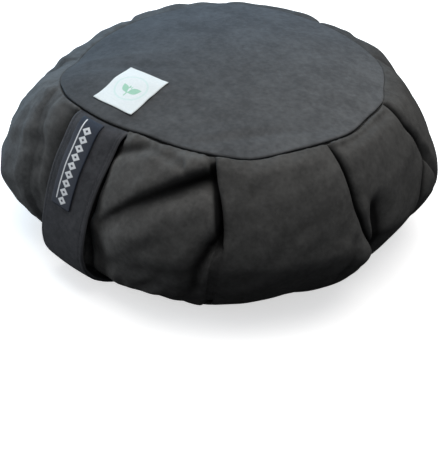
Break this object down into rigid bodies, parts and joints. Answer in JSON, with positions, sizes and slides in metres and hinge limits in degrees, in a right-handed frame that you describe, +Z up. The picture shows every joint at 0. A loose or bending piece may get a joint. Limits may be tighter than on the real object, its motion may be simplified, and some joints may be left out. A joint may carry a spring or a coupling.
{
  "type": "meditation cushion",
  "caption": "Low round floor cushion with a knife-pleated side, a round top cloth and a carry strap down one side.",
  "frame": {"origin": "middle of the flat round base, on the plane the cushion stands on", "axes": "+Z up through the middle of the top; -Y out through the carry strap; +X to the right when the strap faces the viewer"},
  "size_m": [0.329, 0.3234, 0.1342],
  "materials": {
    "side_cotton": "matt black cotton twill, slightly faded on the folds",
    "top_cotton": "matt black cotton twill",
    "base_cotton": "matt black cotton twill",
    "strap_cotton": "matt black cotton, folded and edge stitched",
    "label_weave": "fine navy woven ribbon",
    "patch_cloth": "smooth white cloth with a pale green sprig"
  },
  "bodies": {
    "root": {"filled_body": "side_cotton", "top_panel": "top_cotton", "bottom_panel": "base_cotton", "carry_strap": "strap_cotton", "strap_label": "label_weave", "top_patch": "patch_cloth"}
  },
  "joints": []
}
